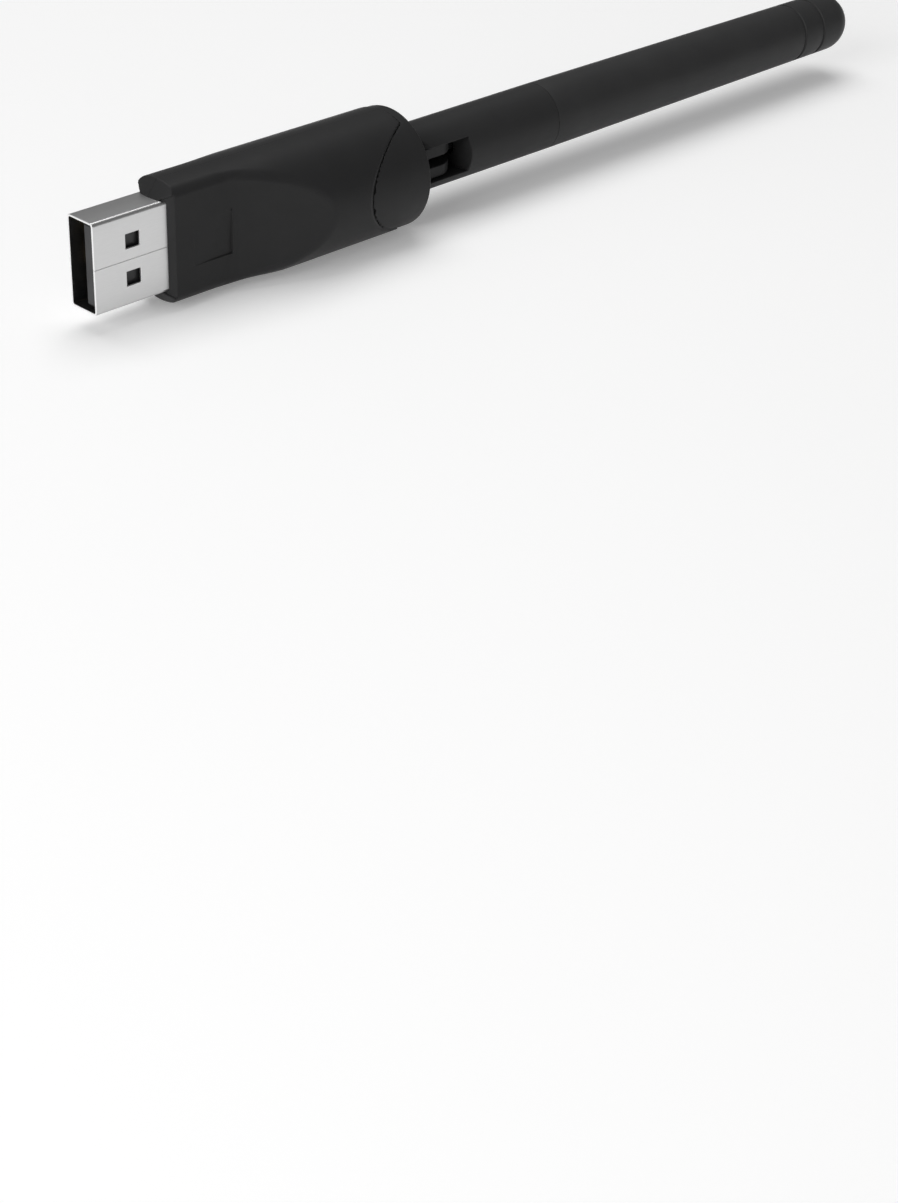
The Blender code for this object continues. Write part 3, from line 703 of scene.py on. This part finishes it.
def noise(tree, scale, detail, stretch=(1, 1, 1)):
    """A noise value over the object's own coordinates, which are in metres."""
    place = tree.nodes.new("ShaderNodeTexCoord")
    mapping = tree.nodes.new("ShaderNodeMapping")
    mapping.inputs["Scale"].default_value = stretch
    texture = tree.nodes.new("ShaderNodeTexNoise")
    texture.inputs["Scale"].default_value = scale
    texture.inputs["Detail"].default_value = detail
    tree.links.new(place.outputs["Object"], mapping.inputs["Vector"])
    tree.links.new(mapping.outputs["Vector"], texture.inputs["Vector"])
    return texture.outputs["Fac"]


NOISE_LOW, NOISE_HIGH = 0.35, 0.65  # the stretch of a noise value that a colour change covers


def ramp_between(tree, value, low, high):
    """Maps a noise value to a colour between two colours."""
    blend = tree.nodes.new("ShaderNodeValToRGB")
    blend.color_ramp.elements[0].position = NOISE_LOW
    blend.color_ramp.elements[1].position = NOISE_HIGH
    blend.color_ramp.elements[0].color = (*low, 1)
    blend.color_ramp.elements[1].color = (*high, 1)
    tree.links.new(value, blend.inputs["Fac"])
    return blend.outputs["Color"]


def to_range(tree, value, low, high):
    mapped = tree.nodes.new("ShaderNodeMapRange")
    mapped.inputs["From Min"].default_value = 0.3
    mapped.inputs["From Max"].default_value = 0.7
    mapped.inputs["To Min"].default_value = low
    mapped.inputs["To Max"].default_value = high
    tree.links.new(value, mapped.inputs["Value"])
    return mapped.outputs["Result"]


def bump(tree, shader, value, height_mm):
    node = tree.nodes.new("ShaderNodeBump")
    node.inputs["Strength"].default_value = 1.0
    node.inputs["Distance"].default_value = height_mm * MM
    tree.links.new(value, node.inputs["Height"])
    tree.links.new(node.outputs["Normal"], shader.inputs["Normal"])


CLOUD, GLOSS_CLOUD, METAL_CLOUD = 6, 2.5, 1.2  # size of the slow changes of tone and gloss
METAL_GRAIN = 0.09


def plastic(name, low, high, rough, grain_mm=0.16, relief=0.004, specular=0.5):
    """Moulded plastic: a fine spark-eroded grain, and slow changes of tone and gloss."""
    material, tree, shader = new_material(name)
    shader.inputs["Specular IOR Level"].default_value = specular
    tone = noise(tree, 1 / (CLOUD * MM), 4)
    tree.links.new(ramp_between(tree, tone, low, high), shader.inputs["Base Color"])
    gloss = noise(tree, 1 / (GLOSS_CLOUD * MM), 5)
    tree.links.new(to_range(tree, gloss, *rough), shader.inputs["Roughness"])
    bump(tree, shader, noise(tree, 1 / (grain_mm * MM), 2), relief)
    return material


def metal(name, low, high, rough, stretch=(0.06, 1, 1), relief=0.0012):
    """Rolled or drawn metal: fine lines along its length."""
    material, tree, shader = new_material(name)
    shader.inputs["Metallic"].default_value = 1.0
    lines = noise(tree, 1 / (METAL_GRAIN * MM), 3, stretch)
    tree.links.new(ramp_between(tree, lines, low, high), shader.inputs["Base Color"])
    gloss = noise(tree, 1 / (METAL_CLOUD * MM), 4)
    tree.links.new(to_range(tree, gloss, *rough), shader.inputs["Roughness"])
    bump(tree, shader, lines, relief)
    return material


def board_material():
    """Green solder mask over copper tracks that stand slightly proud."""
    material, tree, shader = new_material("board_green")
    place = tree.nodes.new("ShaderNodeTexCoord")
    cells = tree.nodes.new("ShaderNodeTexBrick")
    cells.inputs["Scale"].default_value = 700
    cells.inputs["Mortar Size"].default_value = 0.03
    cells.inputs["Color1"].default_value = (0.015, 0.09, 0.04, 1)
    cells.inputs["Color2"].default_value = (0.018, 0.11, 0.05, 1)
    cells.inputs["Mortar"].default_value = (0.05, 0.2, 0.08, 1)
    turn = tree.nodes.new("ShaderNodeMapping")
    turn.inputs["Rotation"].default_value = (math.pi / 2, 0, 0)
    tree.links.new(place.outputs["Object"], turn.inputs["Vector"])
    tree.links.new(turn.outputs["Vector"], cells.inputs["Vector"])
    tree.links.new(cells.outputs["Color"], shader.inputs["Base Color"])
    tree.links.new(to_range(tree, noise(tree, 900, 3), 0.25, 0.42), shader.inputs["Roughness"])
    bump(tree, shader, cells.outputs["Fac"], 0.02)
    return material


def grey(value):
    return (value, value, value)


SATIN = {"relief": 0.002, "specular": 0.11}

# name: darker and lighter colour, lowest and highest roughness, then what differs from the usual
PLASTICS = {
    "case_plastic": ((0.0235, 0.0235, 0.0239), (0.0255, 0.0255, 0.0259), (0.40, 0.45), SATIN),
    "antenna_plastic": ((0.034, 0.034, 0.0345), (0.037, 0.037, 0.0375), (0.42, 0.48), SATIN),
    "sleeve_plastic": ((0.029, 0.029, 0.0294), (0.031, 0.031, 0.0315), (0.42, 0.48), SATIN),
    "tongue_plastic": ((0.018, 0.018, 0.019), (0.026, 0.026, 0.027), (0.4, 0.5), {}),
    "chip_epoxy": (grey(0.012), (0.022, 0.022, 0.021), (0.5, 0.62), {"grain_mm": 0.08, "relief": 0.006}),
    "ferrite": (
        (0.03, 0.03, 0.032),
        (0.055, 0.054, 0.055),
        (0.6, 0.75),
        {"grain_mm": 0.06, "relief": 0.008},
    ),
    "ceramic": ((0.30, 0.19, 0.10), (0.42, 0.29, 0.17), (0.4, 0.55), {"grain_mm": 0.1, "relief": 0.004}),
    "cable_jacket": (
        (0.015, 0.015, 0.016),
        (0.03, 0.03, 0.031),
        (0.45, 0.6),
        {"grain_mm": 0.2, "relief": 0.01},
    ),
}
METALS = {
    "plug_steel": (grey(0.64), grey(0.66), (0.30, 0.31), {"relief": 0.0001}),
    # inside of the shell: the same steel, darkened to paint the shade that falls inside the plug
    "plug_inner": (grey(0.10), grey(0.12), (0.4, 0.5), {"relief": 0.0002}),
    # cut edges of the shell: the same steel, lightened to paint a bright highlight along the rims
    "plug_rim": (grey(0.9), grey(0.95), (0.4, 0.5), {"relief": 0.0002}),
    "gold": ((0.70, 0.48, 0.18), (0.84, 0.62, 0.28), (0.18, 0.3), {}),
    "can_steel": ((0.5, 0.5, 0.49), (0.62, 0.61, 0.6), (0.3, 0.42), {}),
    "spring_steel": ((0.4, 0.4, 0.41), (0.52, 0.52, 0.53), (0.25, 0.4), {"stretch": (1, 1, 1)}),
    "brass": ((0.62, 0.42, 0.16), (0.75, 0.54, 0.23), (0.25, 0.4), {}),
    "copper": ((0.68, 0.28, 0.15), (0.80, 0.40, 0.25), (0.25, 0.38), {}),
}


def make_materials():
    made = {"board_green": board_material()}
    for make, table in ((plastic, PLASTICS), (metal, METALS)):
        for name, (low, high, rough, special) in table.items():
            made[name] = make(name, low, high, rough, **special)
    return made


def paint(piece, material):
    piece.data.materials.clear()
    piece.data.materials.append(material)


# -------------------------------------------------------------- Floor, light and camera


# name: place, what it points at, width in metres, watts
LIGHTS = {
    "key": ((0.10, 0.25, 0.95), (-0.02, 0, 0), 0.8, 6),
    "left": ((-0.75, -0.15, 0.28), (-0.05, 0, 0), 0.5, 3.6),
}
FLOOR_HALF, FLOOR_CELLS = 3.0, 24
FLOOR_GLOW = 0.22
SKY_LOW, SKY_HIGH = 0.19, 0.14
SKY_CHANGE = (35, 55)  # degrees of elevation between which the surround changes


def area_light(name, place, target, size, watts):
    lamp = bpy.data.lights.new(name, "AREA")
    lamp.energy = watts
    lamp.size = size
    obj = bpy.data.objects.new(name, lamp)
    obj.location = place
    direction = Vector(target) - Vector(place)
    obj.rotation_euler = direction.to_track_quat("-Z", "Y").to_euler()
    bpy.context.collection.objects.link(obj)


def studio():
    bm = bmesh.new()
    bmesh.ops.create_grid(bm, x_segments=FLOOR_CELLS, y_segments=FLOOR_CELLS, size=FLOOR_HALF)
    mesh = bpy.data.meshes.new("floor")
    bm.to_mesh(mesh)
    bm.free()
    floor = bpy.data.objects.new("floor", mesh)
    bpy.context.collection.objects.link(floor)
    material, tree, shader = new_material("floor_white")
    tone = ramp_between(tree, noise(tree, 3, 3), grey(0.86), grey(0.88))
    tree.links.new(tone, shader.inputs["Base Color"])
    shader.inputs["Roughness"].default_value = 0.6
    shader.inputs["Emission Color"].default_value = (1, 1, 1, 1)
    shader.inputs["Emission Strength"].default_value = FLOOR_GLOW
    material.cycles.emission_sampling = "NONE"  # a floor sampled as a lamp makes the steel blotchy
    paint(floor, material)

    sky()
    for name, (place, target, size, watts) in LIGHTS.items():
        area_light(name, place, target, size, watts)


def sky():
    """A soft white surround, slightly brighter near the horizon than overhead."""
    surround = bpy.data.worlds.new("studio")
    bpy.context.scene.world = surround
    surround.use_nodes = True
    tree = surround.node_tree
    place = tree.nodes.new("ShaderNodeTexCoord")
    split = tree.nodes.new("ShaderNodeSeparateXYZ")
    tone = tree.nodes.new("ShaderNodeMapRange")
    tone.inputs["From Min"].default_value = math.sin(math.radians(SKY_CHANGE[0]))
    tone.inputs["From Max"].default_value = math.sin(math.radians(SKY_CHANGE[1]))
    tone.inputs["To Min"].default_value = SKY_LOW
    tone.inputs["To Max"].default_value = SKY_HIGH
    tree.links.new(place.outputs["Generated"], split.inputs["Vector"])
    tree.links.new(split.outputs["Z"], tone.inputs["Value"])
    background = tree.nodes["Background"]
    background.inputs["Color"].default_value = (1, 1, 1, 1)
    tree.links.new(tone.outputs["Result"], background.inputs["Strength"])


CAMERA_PLACE = (-0.24785, -0.22763, 0.13111)
CAMERA_AZIMUTH = math.radians(-46.30)
CAMERA_ELEVATION = math.radians(31.336)
CAMERA_ROLL = math.radians(1.917)
CAMERA_LENS, CAMERA_SENSOR = 71.34, 36.0


def camera():
    lens = bpy.data.cameras.new("camera")
    lens.lens = CAMERA_LENS
    lens.sensor_width = CAMERA_SENSOR
    lens.clip_start = 0.01
    obj = bpy.data.objects.new("camera", lens)
    a, e = CAMERA_AZIMUTH, CAMERA_ELEVATION
    back = Vector((math.sin(a) * math.cos(e), -math.cos(a) * math.cos(e), math.sin(e)))
    level = Vector((math.cos(a), math.sin(a), 0))
    upright = back.cross(level)
    right = level * math.cos(CAMERA_ROLL) + upright * math.sin(CAMERA_ROLL)
    up = back.cross(right)
    obj.matrix_world = Matrix.Translation(CAMERA_PLACE) @ Matrix((right, up, back)).transposed().to_4x4()
    bpy.context.collection.objects.link(obj)
    bpy.context.scene.camera = obj


# ------------------------------------------------------------------------------- Scene


def main():
    materials = make_materials()
    slots = {item["node"]: item["material_slot"] for item in frame["record"]["subparts"]}
    for node, obj in frame["nodes"].items():
        paint(obj, materials[slots[node]])

    finer = {
        "usb_shell": usb_shell(),
        "usb_tongue": usb_tongue(),
        "case_near": case_half("case_near_skin", -1),
        "case_far": case_half("case_far_skin", 1),
        "rear_cap": rear_cap(),
        "swivel_hub": swivel_hub(),
        "antenna_sleeve": antenna_sleeve(),
        "antenna_radome": antenna_radome(),
    }
    bodies = frame["record"]["behaviour"]["bodies"]
    for node, piece in finer.items():
        body = next(name for name, nodes in bodies.items() if node in nodes)
        paint(piece, materials[slots[node]])
        if node in ("antenna_sleeve", "swivel_hub"):
            paint(piece, materials["sleeve_plastic"])
        if node == "usb_shell":
            piece.data.materials.clear()
            for name in PLUG_LAYERS:
                piece.data.materials.append(materials[name])
        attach(piece, body)
        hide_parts(node)

    studio()
    camera()
    bpy.context.scene.view_settings.view_transform = "Standard"


main()
